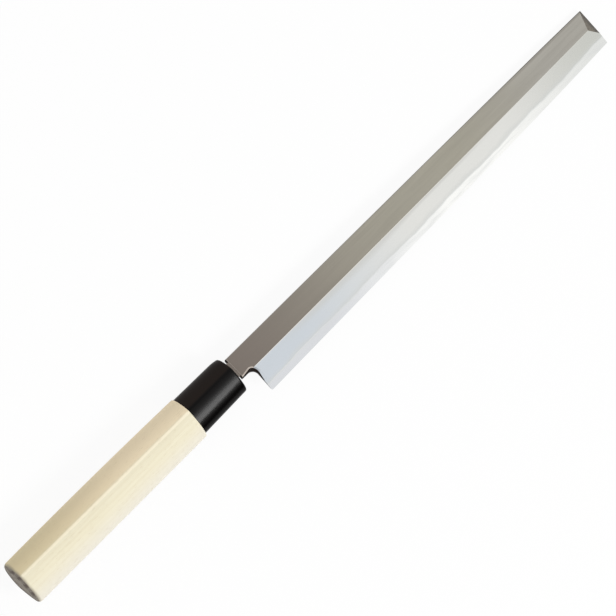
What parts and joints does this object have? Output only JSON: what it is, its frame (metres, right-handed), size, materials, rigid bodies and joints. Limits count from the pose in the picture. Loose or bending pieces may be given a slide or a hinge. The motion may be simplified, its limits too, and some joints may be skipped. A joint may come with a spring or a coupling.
{
  "type": "takohiki knife",
  "caption": "Long square-tipped single-bevel slicing knife with a laminated blade, black ferrule and D-shaped magnolia handle.",
  "frame": {"origin": "middle of the handle's flat butt end", "axes": "+X along the handle and spine to the tip, +Y from the cutting edge to the spine, +Z square to the blade, out of its ground face"},
  "size_m": [0.392, 0.0302, 0.0192],
  "materials": {
    "soft_iron": "fine lengthwise satin on the flat, hazy on the bevel",
    "hard_steel": "bright fine polish along the edge, ground hollow back",
    "black_horn": "polished black",
    "magnolia": "sanded, unfinished, straight fine grain"
  },
  "bodies": {
    "root": {"blade_iron_body": "soft_iron", "blade_steel_layer": "hard_steel", "ferrule": "black_horn", "handle": "magnolia"}
  },
  "joints": []
}
